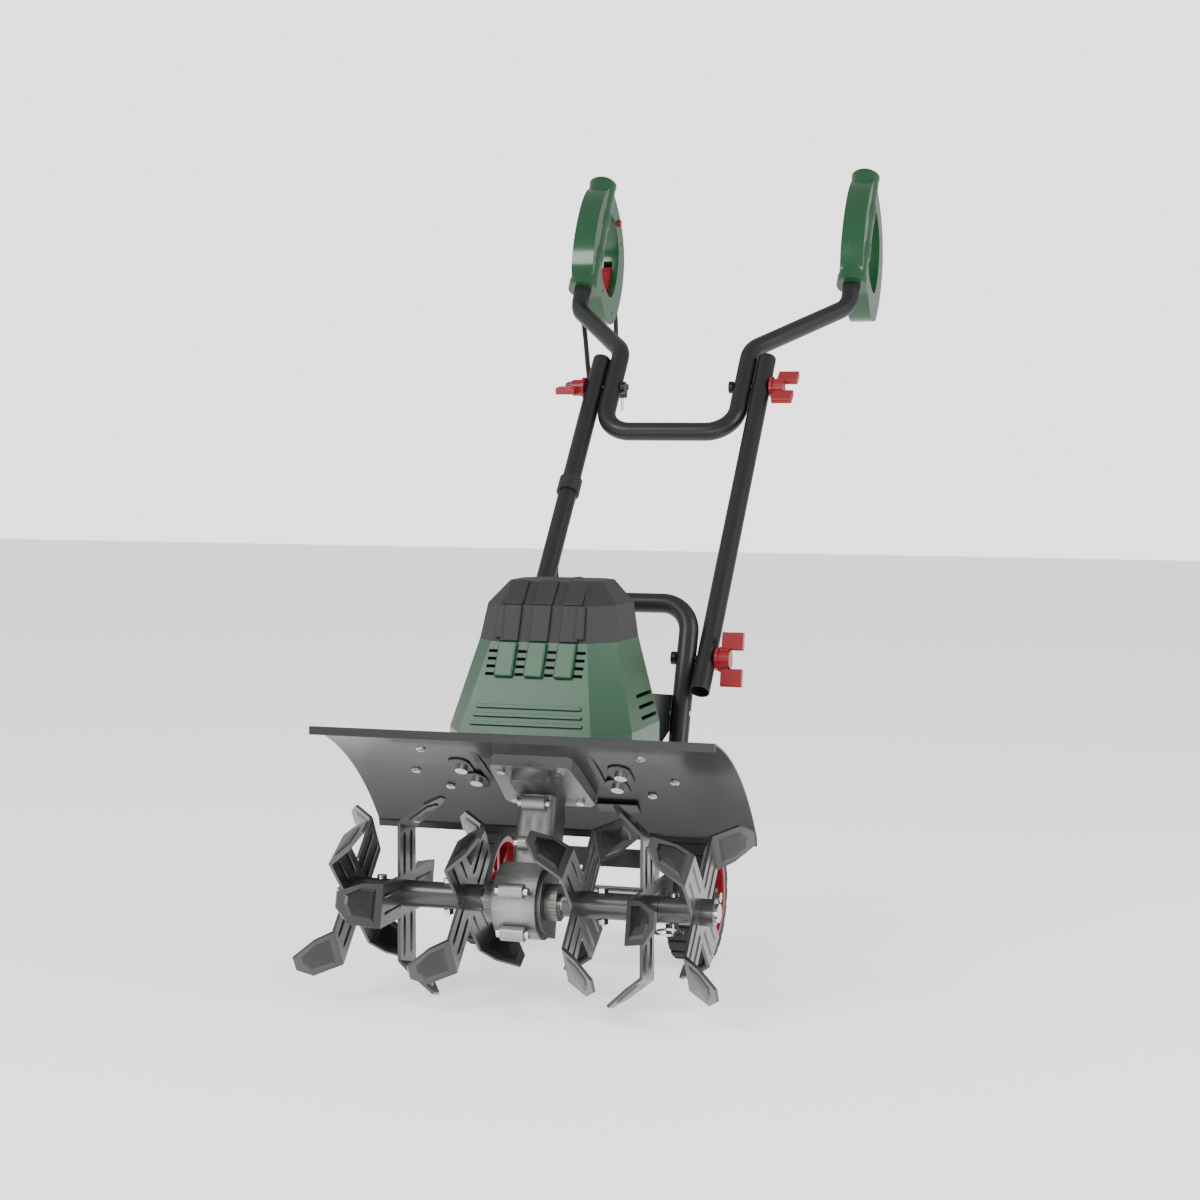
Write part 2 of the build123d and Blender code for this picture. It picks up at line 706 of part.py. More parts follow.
def knob(side, y, z, turn):
    """A two-winged nut on a pivot bolt."""
    x_rod(y, z, side * 126.6, side * 144, 11)
    x_rod(y, z, side * 126.6, side * 130, 14)
    wing = (0, cos(radians(turn)), sin(radians(turn)))
    with BuildSketch(Plane(origin=(side * 130, y, z), x_dir=wing, z_dir=(1, 0, 0))) as face:
        Rectangle(30, 8)
    extrude(face.sketch, amount=side * 12)
    for end in (-1, 1):
        with BuildSketch(
            Plane(
                origin=(side * 133, y, z),
                x_dir=(0, cos(radians(turn)), sin(radians(turn))),
                z_dir=(1, 0, 0),
            )
        ) as face:
            with Locations((end * 22, 0)):
                RectangleRounded(22, 9, 3)
        extrude(face.sketch, amount=side * 26)
    x_rod(y, z, side * 126, side * 140.6, BOLT_R + 0.1, Mode.SUBTRACT)


with BuildPart() as knob_lower_left:
    knob(-1, *LOW_PIVOT, 80)
save(knob_lower_left, "knob_lower_left")

with BuildPart() as knob_lower_right:
    knob(1, *LOW_PIVOT, 80)
save(knob_lower_right, "knob_lower_right")

with BuildPart() as knob_upper_left:
    knob(-1, *TOP_PIVOT, 10)
save(knob_upper_left, "knob_upper_left")

with BuildPart() as knob_upper_right:
    knob(1, *TOP_PIVOT, 35)
save(knob_upper_right, "knob_upper_right")

# ---------------------------------------------------------------- upper handle
def along_mid(s):
    """Y and Z of a point s up the handle from the top pivot."""
    k = (1 + MID_DY**2) ** 0.5
    return (TOP_PIVOT[0] + s * MID_DY / k, TOP_PIVOT[1] + s / k)


def grip_point(u, v):
    """Y and Z of a point u up a grip and v behind it."""
    return (GRIP_Y + u * GRIP_U[1] + v * GRIP_U[2], GRIP_Z + u * GRIP_U[2] - v * GRIP_U[1])


BAR_END = grip_point(168, 0)
BAR_KNEE = grip_point(-34, 0)
with BuildPart() as handle_bar:
    with BuildLine():
        bent_line(
            [
                (-GRIP_X, *BAR_END),
                (-GRIP_X, *BAR_KNEE),
                (-FRAME_X, *along_mid(66)),
                (-FRAME_X, *along_mid(-77)),
                (FRAME_X, *along_mid(-77)),
                (FRAME_X, *along_mid(66)),
                (GRIP_X, *BAR_KNEE),
                (GRIP_X, *BAR_END),
            ],
            (40, 40, 38, 38, 40, 40),
        )
    with BuildSketch(Plane(origin=(-GRIP_X, *BAR_END), z_dir=(0, -GRIP_U[1], -GRIP_U[2]))):
        Circle(TUBE_R)
        Circle(TUBE_R - TUBE_WALL, mode=Mode.SUBTRACT)
    sweep()
    for side in (-1, 1):
        x_rod(*TOP_PIVOT, side * 70, side * 105, BOLT_R + 0.1, Mode.SUBTRACT)
save(handle_bar, "handle_bar")

LOOP_OUT = [
    (178, 6), (172, 40), (158, 74), (130, 104), (92, 118), (48, 118), (16, 106), (2, 84), (6, 56), (14, 32),
    (8, 6),
]
LOOP_IN = [(146, 24), (142, 46), (124, 72), (96, 84), (62, 86), (41, 76), (36, 54), (42, 24)]
INSERT = [(170, 48), (150, 82), (126, 104.5), (92, 114.5), (92, 123), (130, 113), (164, 84), (180, 52)]


def outline(points):
    """A closed outline in a grip's plane, from pairs up and behind."""
    flat = [(u, -v) for u, v in points]
    Polyline(*flat, flat[0])


def grip(side, half, with_switch):
    plane = grip_plane(side)
    with BuildSketch(Plane(origin=plane.origin, x_dir=(1, 0, 0), z_dir=GRIP_U)) as face:
        Circle(GRIP_R)
    extrude(face.sketch, amount=GRIP_LEN)
    with BuildSketch(Plane(origin=plane.origin, x_dir=(1, 0, 0), z_dir=GRIP_U)) as face:
        Circle(GRIP_R + 1.5)
    extrude(face.sketch, amount=14)
    with BuildSketch(plane) as face:
        with BuildLine():
            Spline(*[(u, -v) for u, v in LOOP_OUT], periodic=True)
        make_face()
        with BuildLine():
            Spline(*[(u, -v) for u, v in LOOP_IN], periodic=True)
        make_face(mode=Mode.SUBTRACT)
    extrude(face.sketch, amount=16, both=True)
    with BuildSketch(Plane(origin=plane.origin, x_dir=(1, 0, 0), z_dir=GRIP_U)) as face:
        Circle(TUBE_R + 0.1)
    extrude(face.sketch, amount=170, mode=Mode.SUBTRACT)
    with BuildSketch(plane) as face:
        with BuildLine():
            outline(INSERT)
        make_face()
    extrude(face.sketch, amount=11.1, both=True, mode=Mode.SUBTRACT)
    if with_switch:
        with BuildSketch(plane) as face:
            with BuildLine():
                outline([(109, 74), (109, 103), (99, 110), (38, 110), (39, 66)])
            make_face()
        extrude(face.sketch, amount=6.5, both=True, mode=Mode.SUBTRACT)
        with BuildSketch(plane) as face:
            with Locations((121, -88)):
                Rectangle(18, 12)
        extrude(face.sketch, amount=7, both=True, mode=Mode.SUBTRACT)
        with BuildSketch(plane) as face:
            with Locations((155, -50)):
                Circle(5.2)
        extrude(face.sketch, amount=-20, mode=Mode.SUBTRACT)
        with BuildSketch(plane.offset(-2)) as face:
            with Locations((155, -50)):
                Circle(5.2)
        extrude(face.sketch, amount=30, mode=Mode.SUBTRACT)
        cord_hole = (side * GRIP_X, *grip_point(76, 97))
        with BuildSketch(Plane(origin=cord_hole, z_dir=(0, GRIP_U[2], -GRIP_U[1]))) as face:
            Circle(5.1)
        extrude(face.sketch, amount=40, mode=Mode.SUBTRACT)
    for u, v in GRIP_SCREWS:
        y, z = grip_point(u, v)
        x_rod(y, z, side * GRIP_X - 30, side * GRIP_X + 30, 2.1, Mode.SUBTRACT)
    with Locations((side * GRIP_X + half * 100.05, GRIP_Y, GRIP_Z)):
        Box(200, 1000, 1000, mode=Mode.INTERSECT)


GRIP_SCREWS = [(180, 12), (138, 78), (24, 92), (26, 38)]

with BuildPart() as grip_left_outer:
    grip(-1, -1, True)
save(grip_left_outer, "grip_left_outer")

with BuildPart() as grip_left_inner:
    grip(-1, 1, True)
save(grip_left_inner, "grip_left_inner")

with BuildPart() as grip_right_outer:
    grip(1, 1, False)
save(grip_right_outer, "grip_right_outer")

with BuildPart() as grip_right_inner:
    grip(1, -1, False)
save(grip_right_inner, "grip_right_inner")

with BuildPart() as grip_screws:
    for side in (-1, 1):
        for u, v in GRIP_SCREWS:
            y, z = grip_point(u, v)
            x_rod(y, z, side * GRIP_X - 14.5, side * GRIP_X + 14.5, 1.9)
save(grip_screws, "grip_screws")


INSERT_BODY = [
    (170.6, 48.8), (150.5, 82.4), (126.3, 105), (92.3, 115), (92.3, 120), (130, 107.5), (160, 77), (174, 52),
]


def soft_insert(side):
    with BuildSketch(grip_plane(side)) as face:
        with BuildLine():
            outline(INSERT_BODY)
        make_face()
    extrude(face.sketch, amount=11, both=True)


with BuildPart() as soft_inserts:
    soft_insert(-1)
    soft_insert(1)
save(soft_inserts, "soft_inserts")

with BuildPart() as trigger:
    with BuildSketch(grip_plane(-1)):
        with BuildLine():
            outline([
                (106, 90), (100, 82), (88, 77), (62, 76), (50, 70), (46, 74), (48, 90), (62, 95),
                (100, 97.5), (106, 95),
            ])
        make_face()
    extrude(amount=6, both=True)
save(trigger, "trigger")

with BuildPart() as lock_button:
    with BuildSketch(grip_plane(-1).offset(6)):
        with Locations((155, -50)):
            Circle(5.12)
    extrude(amount=14)
save(lock_button, "lock_button")

with BuildPart() as switch_block:
    with BuildSketch(grip_plane(-1)):
        with Locations((121, -88)):
            Rectangle(17.6, 11.6)
    extrude(amount=6.8, both=True)
save(switch_block, "switch_block")

# ---------------------------------------------------------------- mains cord and plug
GLAND_Y, GLAND_Z = grip_point(76, 130)
with BuildPart() as cord_gland:
    with BuildSketch(Plane(origin=(-GRIP_X, *grip_point(76, 112)), z_dir=(0, GRIP_U[2], -GRIP_U[1]))):
        Circle(5)
        Circle(CORD_R + 0.5, mode=Mode.SUBTRACT)
    extrude(amount=13)
save(cord_gland, "cord_gland")

CORD_X = -GRIP_X
CORD_POINTS = [
    (CORD_X, *grip_point(76, 113)),
    (CORD_X, *grip_point(76, 122)),
    (CORD_X, *grip_point(76, 131)),
    (CORD_X + 1, GLAND_Y + 9, GLAND_Z - 14),
    (CORD_X + 2, GLAND_Y + 11, GLAND_Z - 36),
    (CORD_X + 3, GLAND_Y + 9, GLAND_Z - 68),
    (CORD_X + 4, GLAND_Y + 7, GLAND_Z - 106),
]
with BuildPart() as mains_cord:
    with BuildLine() as cord_line:
        Spline(*CORD_POINTS, tangents=[(0, GRIP_U[2], -GRIP_U[1]), (0, 0, -1)])
    with BuildSketch(Plane(origin=CORD_POINTS[0], z_dir=(0, GRIP_U[2], -GRIP_U[1]))):
        Circle(CORD_R)
    sweep()
save(mains_cord, "mains_cord")

PLUG = Plane(origin=(CORD_X + 4, GLAND_Y + 7, GLAND_Z - 100), x_dir=(1, 0, 0), z_dir=(0, -1, 0))
PLUG_SHAPE = [
    (CORD_R + 0.1, 0), (7.5, 0), (8.5, -5), (8.5, -9), (7, -12), (9, -22), (19, -26), (19, -33),
    (17, -36), (16.5, -46), (0, -46), (0, -6.2), (CORD_R + 0.1, -6.2), (CORD_R + 0.1, 0),
]
with BuildPart() as plug_body:
    with BuildSketch(PLUG):
        with BuildLine():
            Polyline(*PLUG_SHAPE)
        make_face()
    revolve(axis=Axis(PLUG.origin, (0, 0, 1)))
    for side in (-1, 1):
        with BuildSketch(Plane(origin=PLUG.origin + Vector(side * 9.5, 0, -46.5), z_dir=(0, 0, 1))):
            Circle(2.5)
        extrude(amount=12, mode=Mode.SUBTRACT)
save(plug_body, "plug_body")

with BuildPart() as plug_pins:
    for side in (-1, 1):
        with BuildSketch(Plane(origin=PLUG.origin + Vector(side * 9.5, 0, -65), z_dir=(0, 0, 1))):
            Circle(2.4)
        extrude(amount=18.8)
        with BuildSketch(Plane(origin=PLUG.origin + Vector(side * 9.5, 0, -46.3), z_dir=(0, 0, 1))):
            Circle(2.2)
        extrude(amount=11)
save(plug_pins, "plug_pins")

# ---------------------------------------------------------------- motor lead
def behind_mid(z, gap):
    """Y and Z of a point behind the middle tube's axis, square to the tube at height z."""
    k = (1 + MID_DY**2) ** 0.5
    y = LOW_PIVOT[0] + (z - LOW_PIVOT[1]) * MID_DY
    return (y + gap / k, z - gap * MID_DY / k)


LEAD_GAP = TUBE_R + LEAD_R + 1.5
LEAD_UP = [
    (-GRIP_X, *grip_point(-0.4, 17.0)),
    (-GRIP_X + 2, *grip_point(-34, 19.0)),
    (-178, AY + 792, 745),
    (-156, AY + 731, 709),
    (-139, AY + 686, 672),
    (-128, AY + 642, 630),
    (-116, *behind_mid(590, LEAD_GAP)),
    (-MID_X, *behind_mid(562, LEAD_GAP)),
]
LEAD_LOW = [
    (-MID_X, *behind_mid(561.6, LEAD_GAP)),
    (-MID_X, *behind_mid(520, LEAD_GAP)),
    (-MID_X, *behind_mid(470, LEAD_GAP)),
    (-104, AY + 436, 424),
    (-72, AY + 398, 432),
    (-44, AY + 356, 430),
    (-36, AY + 300, 388),
    (-36, AY + 240, 350),
    (-36, AY + 193.5, 344),
]


def lead(points, ends):
    with BuildLine() as route:
        Spline(*points, tangents=ends)
    with BuildSketch(Plane(origin=points[0], z_dir=route.line % 0)) as face:
        Circle(LEAD_R)
    sweep(face.sketch, path=route.line)


with BuildPart() as motor_lead_upper:
    with BuildLine() as route:
        FilletPolyline(*LEAD_UP, radius=30)
    with BuildSketch(Plane(origin=LEAD_UP[0], z_dir=route.line % 0)) as face:
        Circle(LEAD_R)
    sweep(face.sketch, path=route.line)
save(motor_lead_upper, "motor_lead_upper")

with BuildPart() as motor_lead_lower:
    lead(LEAD_LOW, [(0, -MID_DY, -1), (0, -1, 0)])
save(motor_lead_lower, "motor_lead_lower")

with BuildPart() as cable_clip:
    clip_plane = Plane(origin=(-MID_X, *behind_mid(545, 0)), x_dir=(1, 0, 0), z_dir=(0, MID_DY, 1))
    with BuildSketch(clip_plane):
        Circle(TUBE_R + 3)
        with Locations((0, LEAD_GAP)):
            Circle(LEAD_R + 2.5)
        Circle(TUBE_R + 0.1, mode=Mode.SUBTRACT)
        with Locations((0, LEAD_GAP)):
            Circle(LEAD_R + 0.5, mode=Mode.SUBTRACT)
    extrude(amount=11, both=True)
save(cable_clip, "cable_clip")
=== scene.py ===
import bpy
import bmesh
import json
from math import cos, pi, radians, sin
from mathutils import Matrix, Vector


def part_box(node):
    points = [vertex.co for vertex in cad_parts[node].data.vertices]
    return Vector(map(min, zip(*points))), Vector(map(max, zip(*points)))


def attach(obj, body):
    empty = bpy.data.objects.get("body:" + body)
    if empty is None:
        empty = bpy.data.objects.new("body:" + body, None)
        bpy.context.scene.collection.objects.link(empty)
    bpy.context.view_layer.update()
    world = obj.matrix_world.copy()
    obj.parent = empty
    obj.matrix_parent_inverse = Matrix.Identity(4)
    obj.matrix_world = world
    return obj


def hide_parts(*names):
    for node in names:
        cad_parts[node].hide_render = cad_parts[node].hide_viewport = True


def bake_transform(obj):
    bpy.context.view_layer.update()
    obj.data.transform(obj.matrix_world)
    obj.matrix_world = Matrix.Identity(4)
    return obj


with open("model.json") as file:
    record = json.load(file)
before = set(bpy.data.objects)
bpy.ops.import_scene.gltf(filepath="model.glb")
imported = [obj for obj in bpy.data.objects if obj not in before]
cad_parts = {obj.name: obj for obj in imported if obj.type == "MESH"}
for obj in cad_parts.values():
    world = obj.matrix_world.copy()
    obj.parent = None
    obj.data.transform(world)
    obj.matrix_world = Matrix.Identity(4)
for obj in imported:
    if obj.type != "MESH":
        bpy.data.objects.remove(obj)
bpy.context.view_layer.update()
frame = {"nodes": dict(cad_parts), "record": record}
NODES = frame["nodes"]
scene = bpy.context.scene
MM = 0.001


def centre(node):
    a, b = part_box(node)
    return (Vector(a) + Vector(b)) / 2


# ---------------------------------------------------------------- driving places, from the frame
AXLE = centre("tine_axle")
WHEEL = centre("wheel_axle")
GRIP_UP = Vector((0, 0.530, 0.848)).normalized()
GRIP_BACK = Vector((0, 0.848, -0.530)).normalized()
GRIP_FOOT = Vector((0, AXLE.y + 0.829, 0.818))
GRIP_X = 0.194          # half the distance between the grips
GRIP_R = 0.0195
GRIP_LENGTH = 0.188
WHEEL_X = 0.127
# name, distance out from the middle and turn in degrees of each pair of tine stars
STARS = (("inner", 0.064, 45), ("middle", 0.137, 0), ("outer", 0.196, 45))
GUARD_UP = Vector((0, 0.549, 0.836)).normalized()
GUARD_BACK = Vector((0, 0.836, -0.549)).normalized()
GUARD_MID = Vector((0, AXLE.y + 0.0479, 0.2499))
GUARD_R = 0.366


# ---------------------------------------------------------------- materials
def material(name, colour, rough, metal=0.0, grain=0.0, scale=400.0, mottle=0.08, coat=0.0, wear=None):
    """A surface with fine grain in the bump, mottled colour and roughness, and a wear colour on edges."""
    m = bpy.data.materials.new(name)
    m.use_nodes = True
    n, link = m.node_tree.nodes, m.node_tree.links.new
    bsdf = n["Principled BSDF"]
    bsdf.inputs["Metallic"].default_value = metal
    bsdf.inputs["Coat Weight"].default_value = coat
    if not metal:
        bsdf.inputs["Specular IOR Level"].default_value = 0.32
    bsdf.inputs["Coat Roughness"].default_value = 0.12
    place = n.new("ShaderNodeTexCoord")
    broad = n.new("ShaderNodeTexNoise")
    broad.inputs["Scale"].default_value = 22.0
    broad.inputs["Detail"].default_value = 4.0
    link(place.outputs["Object"], broad.inputs["Vector"])
    fine = n.new("ShaderNodeTexNoise")
    fine.inputs["Scale"].default_value = scale
    fine.inputs["Detail"].default_value = 3.0
    link(place.outputs["Object"], fine.inputs["Vector"])
    shade = n.new("ShaderNodeMix")
    shade.data_type = "RGBA"
    shade.inputs["A"].default_value = (*[c * (1 - mottle) for c in colour], 1)
    shade.inputs["B"].default_value = (*[min(1, c * (1 + mottle)) for c in colour], 1)
    link(broad.outputs["Fac"], shade.inputs["Factor"])
    link(shade.outputs["Result"], bsdf.inputs["Base Color"])
    spread = n.new("ShaderNodeMapRange")
    spread.inputs["To Min"].default_value = max(0.03, rough - 0.07)
    spread.inputs["To Max"].default_value = min(1.0, rough + 0.07)
    link(broad.outputs["Fac"], spread.inputs["Value"])
    link(spread.outputs["Result"], bsdf.inputs["Roughness"])
    if grain:
        bump = n.new("ShaderNodeBump")
        bump.inputs["Strength"].default_value = grain
        bump.inputs["Distance"].default_value = 0.0006
        link(fine.outputs["Fac"], bump.inputs["Height"])
        link(bump.outputs["Normal"], bsdf.inputs["Normal"])
    if wear:
        edge = n.new("ShaderNodeNewGeometry")
        ramp = n.new("ShaderNodeMapRange")
        ramp.inputs["From Min"].default_value = 0.53
        ramp.inputs["From Max"].default_value = 0.62
        link(edge.outputs["Pointiness"], ramp.inputs["Value"])
        worn = n.new("ShaderNodeMix")
        worn.data_type = "RGBA"
        worn.inputs["B"].default_value = (*wear, 1)
        link(ramp.outputs["Result"], worn.inputs["Factor"])
        link(shade.outputs["Result"], worn.inputs["A"])
        link(worn.outputs["Result"], bsdf.inputs["Base Color"])
    return m


LOOK = {
    "guard_steel": material("guard_steel", (0.008, 0.0085, 0.009), 0.36, 0.0, 0.12, 900, 0.15, 0.25),
    "black_tube": material("black_tube", (0.009, 0.0095, 0.010), 0.44, 0.0, 0.10, 1200, 0.10, 0.10),
    "tine_steel": material(
        "tine_steel", (0.0065, 0.007, 0.0075), 0.30, 0.1, 0.18, 500, 0.30, 0.30, (0.05, 0.05, 0.05)
    ),
    "black_bolt": material("black_bolt", (0.015, 0.015, 0.016), 0.35, 0.6, 0.05, 800),
    "cast_alloy": material(
        "cast_alloy", (0.13, 0.13, 0.128), 0.44, 0.80, 0.70, 330, 0.30, 0.0, (0.30, 0.30, 0.29)
    ),
    "zinc": material("zinc", (0.62, 0.61, 0.58), 0.27, 1.0, 0.10, 900, 0.12),
    "bright_steel": material("bright_steel", (0.50, 0.50, 0.50), 0.25, 1.0, 0.06, 1000, 0.08),
    "bronze": material("bronze", (0.50, 0.34, 0.16), 0.35, 1.0, 0.10, 500, 0.12),
    "lamination": material("lamination", (0.16, 0.14, 0.13), 0.45, 0.8, 0.20, 700, 0.15),
    "green_plastic": material("green_plastic", (0.010, 0.066, 0.026), 0.36, 0.0, 0.30, 1100, 0.10, 0.15),
    "green_gloss": material("green_gloss", (0.010, 0.062, 0.022), 0.20, 0.0, 0.06, 900, 0.08, 0.45),
    "grey_plastic": material("grey_plastic", (0.022, 0.022, 0.024), 0.52, 0.0, 0.55, 1300, 0.10),
    "red_plastic": material("red_plastic", (0.24, 0.008, 0.013), 0.33, 0.0, 0.15, 900, 0.08, 0.20),
    "black_plastic": material("black_plastic", (0.016, 0.016, 0.017), 0.45, 0.0, 0.30, 1000, 0.10),
    "soft_black": material("soft_black", (0.014, 0.014, 0.014), 0.60, 0.0, 0.40, 1400, 0.12),
    "cable": material("cable", (0.012, 0.012, 0.012), 0.48, 0.0, 0.10, 1200, 0.10),
    "tyre": material("tyre", (0.017, 0.017, 0.017), 0.68, 0.0, 0.45, 600, 0.18),
    "nickel": material("nickel", (0.68, 0.67, 0.64), 0.18, 1.0, 0.04, 900, 0.06),
}

for part in frame["record"]["subparts"]:
    node = NODES[part["node"]]
    if not node.material_slots:
        node.data.materials.append(None)
    for place in node.material_slots:
        place.material = LOOK[part["material_slot"]]

BEVELS = {
    "gear_case_left": 1.6, "gear_case_right": 1.6, "motor_plate": 1.0, "frame_brackets": 0.8,
    "wheel_carrier": 0.8, "tyre_left": 1.2, "tyre_right": 1.2, "rim_left": 0.9, "rim_right": 0.9,
    "stars_inner": 0.5, "stars_middle": 0.5, "stars_outer": 0.5, "motor_housing": 1.6, "motor_cap": 2.2,
    "knob_lower_left": 1.8, "knob_lower_right": 1.8, "knob_upper_left": 1.8, "knob_upper_right": 1.8,
    "grip_left_outer": 1.4, "grip_left_inner": 1.4, "grip_right_outer": 1.4, "grip_right_inner": 1.4,
    "trigger": 1.2, "soft_inserts": 1.4, "cable_clip": 0.8, "body_bolts": 0.5, "case_screws": 0.4,
    "hub_bolts": 0.4, "hitch_pins": 0.4, "guard_sheet": 0.5, "lock_button": 0.8,
}
for name, width in BEVELS.items():
    bevel = NODES[name].modifiers.new("edges", "BEVEL")
    bevel.width = width * MM
    bevel.segments = 3
    bevel.limit_method = "ANGLE"
    bevel.angle_limit = radians(34)


# ---------------------------------------------------------------- mesh helpers
def to_mesh(name, bm):
    """The mesh of bm, its faces turned outward."""
    bmesh.ops.recalc_face_normals(bm, faces=bm.faces)
    mesh = bpy.data.meshes.new(name)
    bm.to_mesh(mesh)
    bm.free()
    return mesh


def finish_mesh(name, mesh, look, body, smooth=True, bevel=0.0):
    obj = bpy.data.objects.new(name, mesh)
    scene.collection.objects.link(obj)
    mesh.materials.append(LOOK[look])
    for face in mesh.polygons:
        face.use_smooth = smooth
    if bevel:
        mod = obj.modifiers.new("edges", "BEVEL")
        mod.width = bevel * MM
        mod.segments = 3
        mod.limit_method = "ANGLE"
        mod.angle_limit = radians(34)
    if smooth:
        mesh.set_sharp_from_angle(angle=radians(34))
    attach(obj, body)
    return obj


def slab(name, outline, origin, right, up, depth, look, body, bevel=0.6):
    """A flat shape in the plane of right and up, depth thick, its near face depth out along right x up."""
    out = right.cross(up).normalized()
    bm = bmesh.new()
    low = [bm.verts.new(origin + right * x + up * y) for x, y in outline]
    top = [bm.verts.new(origin + right * x + up * y + out * depth) for x, y in outline]
    bm.faces.new(low[::-1])
    bm.faces.new(top)
    for i in range(len(outline)):
        j = (i + 1) % len(outline)
        bm.faces.new((low[i], low[j], top[j], top[i]))
    return finish_mesh(name, to_mesh(name, bm), look, body, True, bevel)


def turned(name, profile, origin, axis, look, body, steps=48, open_middle=False):
    """A shape turned round axis: profile is pairs of distance along the axis and radius.
    With open_middle its last point joins its first, and else both ends are closed with a flat face."""
    axis = axis.normalized()
    side = axis.orthogonal().normalized()
    other = axis.cross(side)
    bm = bmesh.new()
    rings = []
    for along, radius in profile:
        ring = []
        for i in range(steps):
            a = 2 * pi * i / steps
            out = (side * cos(a) + other * sin(a)) * max(radius, 1e-5)
            ring.append(bm.verts.new(origin + axis * along + out))
        rings.append(ring)
    following = rings[1:] + rings[:1] if open_middle else rings[1:]
    for a, b in zip(rings, following):
        for i in range(steps):
            j = (i + 1) % steps
            bm.faces.new((a[i], a[j], b[j], b[i]))
    if not open_middle:
        bm.faces.new(rings[0][::-1])
        bm.faces.new(rings[-1])
    return finish_mesh(name, to_mesh(name, bm), look, body)


def oval(half_w, half_h, steps=28):
    """Points of a rounded slot, half_w by half_h."""
    r = min(half_w, half_h)
    dx, dy = half_w - r, half_h - r
    points = []
    for i in range(steps):
        a = 2 * pi * (i + 0.5) / steps
        points.append((r * cos(a) + (dx if cos(a) > 0 else -dx), r * sin(a) + (dy if sin(a) > 0 else -dy)))
    return points


# ---------------------------------------------------------------- motor housing and cap
X = Vector((1, 0, 0))
MOTOR = Vector((0, AXLE.y, 0))
FRONT_UP = Vector((0, 50, 96)).normalized()
FRONT_FOOT = MOTOR + Vector((0, -0.005, 0.290))
CAP_LOW = (MOTOR + Vector((0, 0.045, 0.3862)), Vector((0, 15, 38.8)).normalized(), 0.0416)
CAP_HIGH = (MOTOR + Vector((0, 0.060, 0.425)), Vector((0, 26, 25)).normalized(), 0.0361)


def bar(width, height):
    """Corners of an upright bar, its foot at the origin."""
    w = width / 2
    return [(-w, 0), (w, 0), (w, height), (-w, height)]


STRAP_X = (-0.034, 0, 0.034)
for i, x in enumerate(STRAP_X):
    at = FRONT_FOOT + X * x + FRONT_UP * 0.066
    slab(f"housing_strap_{i}", bar(0.021, 0.041), at, X, FRONT_UP, 0.0045, "green_plastic", "chassis", 1.6)
    low, up, length = CAP_LOW
    slab(f"cap_strap_{i}", bar(0.021, length), low + X * x, X, up, 0.0035, "grey_plastic", "chassis", 1.2)
    low, up, length = CAP_HIGH
    slab(f"cap_crest_{i}", bar(0.021, length), low + X * x, X, up, 0.0030, "grey_plastic", "chassis", 1.2)

for i, height in enumerate((0.012, 0.022, 0.032)):
    at = FRONT_FOOT + FRONT_UP * height
    shape = oval(0.064 - 0.002 * i, 0.0022)
    slab(f"housing_ridge_{i}", shape, at, X, FRONT_UP, 0.0022, "green_plastic", "chassis", 0.5)

for side, tag in ((-1, "left"), (1, "right")):
    low, up, length = CAP_LOW
    lobe = [(-0.006, 0.003), (0.006, 0.003), (0.004, length), (-0.005, length)]
    slab(f"cap_lobe_{tag}", lobe, low + X * (side * 0.0455), X, up, 0.0045, "grey_plastic", "chassis", 2.0)

# ---------------------------------------------------------------- guard pressings
def under_guard(x, v):
    """A point on the guard's underside, x across and v back from its middle."""
    drop = GUARD_R - (GUARD_R**2 - v**2) ** 0.5
    return GUARD_MID + X * x + GUARD_BACK * v - GUARD_UP * (0.0021 + drop)


# across, back, half width, half height of each raised boss; across and back of each rivet
GUARD_BOSSES = ((0.092, 0.008, 0.013, 0.024), (0.082, 0.036, 0.013, 0.020), (0.066, 0.004, 0.004, 0.040))
GUARD_RIVETS = ((0.125, -0.04), (0.118, 0.052), (0.150, 0.020))
RIVET = [(0, 0.0055), (0.0016, 0.0052), (0.003, 0.0032), (0.0034, 0.0001)]

for side, tag in ((-1, "left"), (1, "right")):
    for i, (x, v, w, h) in enumerate(GUARD_BOSSES):
        at = under_guard(side * x, v)
        slab(f"guard_boss_{tag}_{i}", oval(w, h), at, X, -GUARD_BACK, 0.0018, "guard_steel", "chassis", 0.8)
    for i, (x, v) in enumerate(GUARD_RIVETS):
        at = under_guard(side * x, v)
        turned(f"guard_rivet_{tag}_{i}", RIVET, at, -GUARD_UP, "zinc", "chassis", 24)
tab = [(-0.024, -0.012), (0.024, -0.012), (0.024, 0.012), (-0.024, 0.012)]
slab("guard_tab", tab, under_guard(0.074, 0.078), X, -GUARD_BACK, 0.002, "guard_steel", "chassis", 0.6)

# ---------------------------------------------------------------- pressed ribs on the tine arms
# distance out from the axle, half width and rise
RIB_SECTIONS = ((0.022, 0.0022, 0.0), (0.026, 0.0026, 0.0012), (0.064, 0.0026, 0.0012), (0.069, 0.0022, 0.0))


